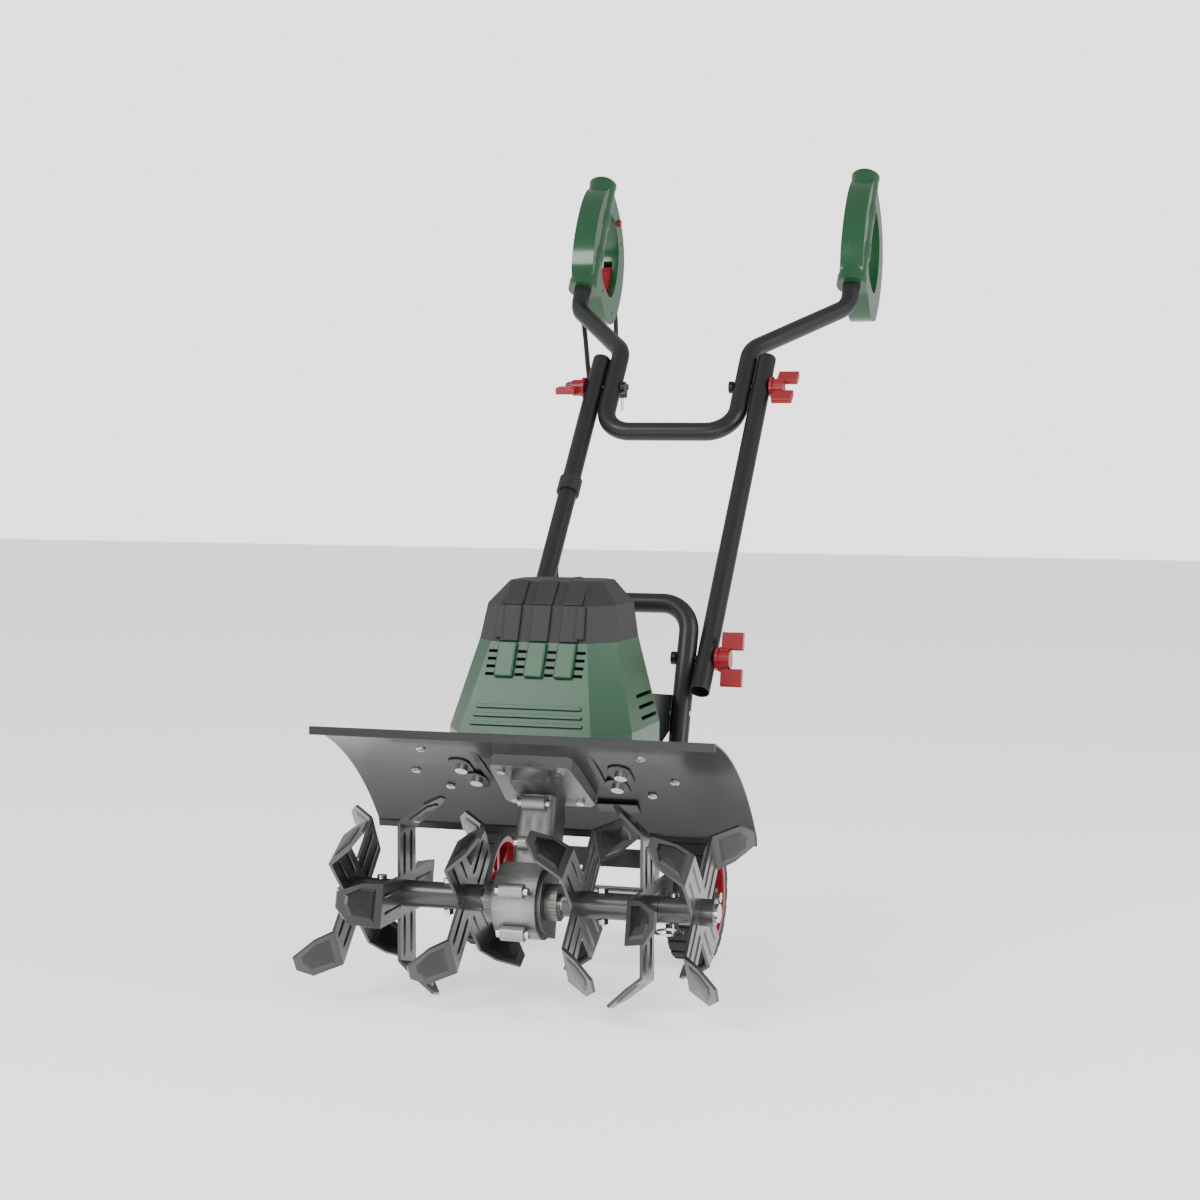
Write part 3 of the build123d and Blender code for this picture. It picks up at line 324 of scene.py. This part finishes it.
def arm_ribs(name, stars, turn):
    """Two shallow ribs along each arm, on both faces, in one mesh."""
    bm = bmesh.new()
    for x in stars:
        for i in range(4):
            a = radians(turn + 90 * i)
            out = Vector((0, cos(a), sin(a)))
            across = Vector((0, -sin(a), cos(a)))
            for offset in (-0.010, 0.010):
                for face in (-1, 1):
                    base = Vector((x, AXLE.y, AXLE.z)) + across * offset + X * (face * 0.00175)
                    ring = []
                    for along, width, rise in RIB_SECTIONS:
                        row = []
                        for k in (-1, -0.45, 0.45, 1):
                            proud = X * (face * (rise if abs(k) < 0.9 else 0))
                            row.append(bm.verts.new(base + out * along + across * (width * k) + proud))
                        ring.append(row)
                    for r0, r1 in zip(ring, ring[1:]):
                        for k in range(3):
                            bm.faces.new((r0[k], r0[k + 1], r1[k + 1], r1[k]))
    return finish_mesh(name, to_mesh(name, bm), "tine_steel", "tines")


for star, out_x, turn in STARS:
    arm_ribs(f"{star}_ribs", (-out_x, out_x), turn)

# ---------------------------------------------------------------- wheel rings
for side, tag in ((-1, "left"), (1, "right")):
    at = Vector((side * WHEEL_X, WHEEL.y, WHEEL.z)) + X * (side * 0.0172)
    ring = [
        (0, 0.0515), (0.0022, 0.0518), (0.003, 0.0535), (0.003, 0.0565), (0.0015, 0.0578), (0, 0.0578),
        (-0.0005, 0.0546),
    ]
    turned(f"rim_ring_{tag}", ring, at, X * side, "red_plastic", f"wheel_{tag}", 72, True)

# ---------------------------------------------------------------- raised panels on the tine tips
ELBOW, TIP, ARM_HALF, TINE_HALF = 0.076, 0.05, 0.046 / 2, 0.0035 / 2
SKEW, TIP_BEND = radians(14.0), radians(50.0)


def tip_panels(name, at_x, turn):
    """A shallow raised panel on both faces of every tip of the two stars at -at_x and at_x, in one mesh."""
    bm = bmesh.new()
    half = ARM_HALF / cos(SKEW)
    foot = [(0.007, 0.006 - half), (0.024, 0.006 - half), (TIP - 0.009, -0.009), (TIP - 0.009, 0.001),
            (0.034, half - 0.009), (0.007, half - 0.006)]
    middle = Vector((sum(p[0] for p in foot), sum(p[1] for p in foot))) / len(foot)
    for side in (-1, 1):
        for i in range(4):
            a = radians(turn + 90 * i)
            out = Vector((0, cos(a), sin(a)))
            round_ = Vector((0, -sin(a), cos(a)))
            across = round_ * cos(SKEW) + out * sin(SKEW)
            along = out * cos(SKEW) - round_ * sin(SKEW)
            bend = side * (1 if i % 2 == 0 else -1)
            tip = along * cos(TIP_BEND) + X * (bend * sin(TIP_BEND))
            up = tip.cross(across)
            elbow = Vector((side * at_x, AXLE.y, AXLE.z)) + out * ELBOW
            for face in (-1, 1):
                low, high, ridge = [], [], []
                for u, v in foot:
                    flat = Vector((u, v))
                    for ring, share, rise in ((low, 1.0, 0.0), (high, 0.80, 0.0013), (ridge, 0.30, 0.0019)):
                        p = middle + (flat - middle) * share
                        proud = up * (face * (TINE_HALF + rise))
                        ring.append(bm.verts.new(elbow + tip * p.x + across * p.y + proud))
                for inner, outer in ((high, low), (ridge, high)):
                    for k in range(len(foot)):
                        j = (k + 1) % len(foot)
                        bm.faces.new((outer[k], outer[j], inner[j], inner[k]))
                bm.faces.new(ridge)
    return finish_mesh(name, to_mesh(name, bm), "tine_steel", "tines", False)


for star, out_x, turn in STARS:
    tip_panels(f"{star}_tip_panels", out_x, turn)


# ---------------------------------------------------------------- moulded rings on the grips
def grip_point(u, v, side=-1):
    return GRIP_FOOT + X * (side * GRIP_X) + GRIP_UP * u + GRIP_BACK * v


for side, tag in ((-1, "left"), (1, "right")):
    for band, first in enumerate((0.046, 0.112)):
        profile = [(0, GRIP_R - 0.0005)]
        for k in range(5):
            at = 0.0012 + 0.0046 * k
            profile += [
                (at, GRIP_R + 0.0002), (at + 0.0008, GRIP_R + 0.0012), (at + 0.0026, GRIP_R + 0.0012),
                (at + 0.0034, GRIP_R + 0.0002),
            ]
        profile.append((0.0242, GRIP_R - 0.0005))
        at = grip_point(first, 0, side)
        turned(f"grip_band_{tag}_{band}", profile, at, GRIP_UP, "green_plastic", "upper_handle")
    crown = [
        (0, GRIP_R - 0.0004), (0.0006, GRIP_R + 0.0006), (0.003, GRIP_R + 0.0006), (0.0052, GRIP_R - 0.0018),
        (0.0062, GRIP_R - 0.006), (0.0066, 0.0001),
    ]
    at = grip_point(GRIP_LENGTH - 0.0035, 0, side)
    turned(f"grip_crown_{tag}", crown, at, GRIP_UP, "green_gloss", "upper_handle")


# ---------------------------------------------------------------- motor lead, in two runs
def tube_along(name, stops, radius, look, steps=14, sides=16):
    """A round tube through stops, smoothly, as a mesh."""
    places = []
    last = len(stops) - 1
    for i in range(last):
        p0, p1, p2, p3 = (stops[max(0, min(last, i + k))] for k in (-1, 0, 1, 2))
        for s in range(steps):
            q = s / steps
            places.append(0.5 * (2 * p1 + (p2 - p0) * q + (2 * p0 - 5 * p1 + 4 * p2 - p3) * q**2
                                 + (3 * p1 - p0 - 3 * p2 + p3) * q**3))
    places.append(stops[-1])
    bm = bmesh.new()
    rings, across = [], None
    for i, place in enumerate(places):
        along = (places[min(i + 1, len(places) - 1)] - places[max(i - 1, 0)]).normalized()
        across = along.orthogonal() if across is None else across - along * across.dot(along)
        across.normalize()
        other = along.cross(across)
        ring = []
        for k in range(sides):
            a = 2 * pi * k / sides
            ring.append(bm.verts.new(place + (across * cos(a) + other * sin(a)) * radius))
        rings.append(ring)
    for a, b in zip(rings, rings[1:]):
        for k in range(sides):
            j = (k + 1) % sides
            bm.faces.new((a[k], a[j], b[j], b[k]))
    bm.faces.new(rings[0][::-1])
    bm.faces.new(rings[-1])
    mesh = to_mesh(name, bm)
    mesh.materials.append(LOOK[look])
    for face in mesh.polygons:
        face.use_smooth = True
    mesh.set_sharp_from_angle(angle=radians(60))
    obj = bpy.data.objects.new(name, mesh)
    scene.collection.objects.link(obj)
    return obj


def behind(x, y, z):
    """A point in millimetres, y behind the tine axle and z above the ground."""
    return Vector((x * MM, AXLE.y + y * MM, z * MM))


LOW, TOP = (342, 344), (627, 675)
MID_DY = (TOP[0] - LOW[0]) / (TOP[1] - LOW[1])
LEAD_R = 0.0035
LEAD_GAP = 0.012 + LEAD_R + 0.0015


def behind_mid(x, z):
    """A point LEAD_GAP behind the middle tube, square to it from height z."""
    k = (1 + MID_DY**2) ** 0.5
    place = behind(x, LOW[0] + (z - LOW[1]) * MID_DY, z)
    return place + Vector((0, 1, -MID_DY)) * (LEAD_GAP / k)


upper_stops = [
    grip_point(-0.0004, 0.017), grip_point(-0.034, 0.019) + X * 0.002, behind(-178, 792, 745),
    behind(-156, 731, 709), behind(-139, 686, 672), behind(-128, 642, 630), behind_mid(-116, 590),
    behind_mid(-114, 562),
]
lower_stops = [
    behind_mid(-114, 562), behind_mid(-114, 520), behind_mid(-114, 470), behind(-104, 436, 424),
    behind(-72, 398, 432), behind(-44, 356, 430), behind(-36, 300, 388), behind(-36, 240, 350),
    behind(-36, 193.5, 344),
]
upper_lead = tube_along("motor_lead_above", upper_stops, LEAD_R, "cable")
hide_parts("motor_lead_upper")
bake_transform(upper_lead)
lower_lead = tube_along("motor_lead_below", lower_stops, LEAD_R, "cable")
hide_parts("motor_lead_lower")
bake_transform(lower_lead)

# ---------------------------------------------------------------- mains cord
gland = grip_point(0.076, 0.130)
route = [
    grip_point(0.076, 0.113),
    grip_point(0.076, 0.122),
    grip_point(0.076, 0.131),
    Vector((-GRIP_X + 0.001, gland.y + 0.009, gland.z - 0.014)),
    Vector((-GRIP_X + 0.002, gland.y + 0.011, gland.z - 0.036)),
    Vector((-GRIP_X + 0.003, gland.y + 0.009, gland.z - 0.068)),
    Vector((-GRIP_X + 0.004, gland.y + 0.007, gland.z - 0.106)),
]
curve = bpy.data.curves.new("mains_cord_run", "CURVE")
curve.dimensions = "3D"
curve.bevel_depth = 0.0035
curve.bevel_resolution = 6
spline = curve.splines.new("NURBS")
spline.points.add(len(route) - 1)
for point, place in zip(spline.points, route):
    point.co = (*place, 1)
spline.order_u = 3
spline.use_endpoint_u = True
spline.resolution_u = 16
curve.materials.append(LOOK["cable"])
cord = bpy.data.objects.new("mains_cord_run", curve)
scene.collection.objects.link(cord)
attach(cord, "upper_handle")
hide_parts("mains_cord")

# ---------------------------------------------------------------- camera, floor and light
eye = bpy.data.objects.new("camera", bpy.data.cameras.new("camera"))
scene.collection.objects.link(eye)
eye.location = (0.7846, AXLE.y - 2.3247, 0.6115)
eye.rotation_euler = (radians(90 - 4.1), radians(-0.2), radians(16.8))
eye.data.sensor_width = 36
eye.data.lens = 68.9
scene.camera = eye

floor = bpy.data.objects.new("floor", bpy.data.meshes.new("floor"))
floor.data.from_pydata([(-9, -9, 0), (9, -9, 0), (9, 9, 0), (-9, 9, 0)], [], [(0, 1, 2, 3)])
scene.collection.objects.link(floor)
paper = bpy.data.materials.new("paper")
paper.use_nodes = True
paper.node_tree.nodes["Principled BSDF"].inputs["Base Color"].default_value = (0.9, 0.9, 0.9, 1)
paper.node_tree.nodes["Principled BSDF"].inputs["Roughness"].default_value = 0.7
paper.node_tree.nodes["Principled BSDF"].inputs["Emission Color"].default_value = (1, 1, 1, 1)
paper.node_tree.nodes["Principled BSDF"].inputs["Emission Strength"].default_value = 0.9
floor.data.materials.append(paper)

world = bpy.data.worlds.new("studio")
world.use_nodes = True
world.node_tree.nodes["Background"].inputs["Color"].default_value = (1, 1, 1, 1)
rays = world.node_tree.nodes.new("ShaderNodeLightPath")
power = world.node_tree.nodes.new("ShaderNodeMapRange")
power.inputs["To Min"].default_value = 0.62      # what lights the part
power.inputs["To Max"].default_value = 2.4       # what the camera sees behind it
world.node_tree.links.new(rays.outputs["Is Camera Ray"], power.inputs["Value"])
world.node_tree.links.new(power.outputs["Result"], world.node_tree.nodes["Background"].inputs["Strength"])
scene.world = world


def lamp(name, place, target, size, power):
    light = bpy.data.lights.new(name, "AREA")
    light.shape = "RECTANGLE"
    light.size, light.size_y = size
    light.energy = power
    obj = bpy.data.objects.new(name, light)
    scene.collection.objects.link(obj)
    obj.location = place
    obj.rotation_euler = (Vector(target) - Vector(place)).to_track_quat("-Z", "Y").to_euler()


lamp("key", (-1.6, -2.2, 2.4), (0, 0, 0.4), (1.6, 1.2), 70)
lamp("side", (2.4, -0.6, 1.4), (0, 0, 0.5), (0.8, 1.8), 45)
lamp("front_low", (0.3, -2.6, 0.5), (0, -0.4, 0.2), (1.8, 0.5), 22)
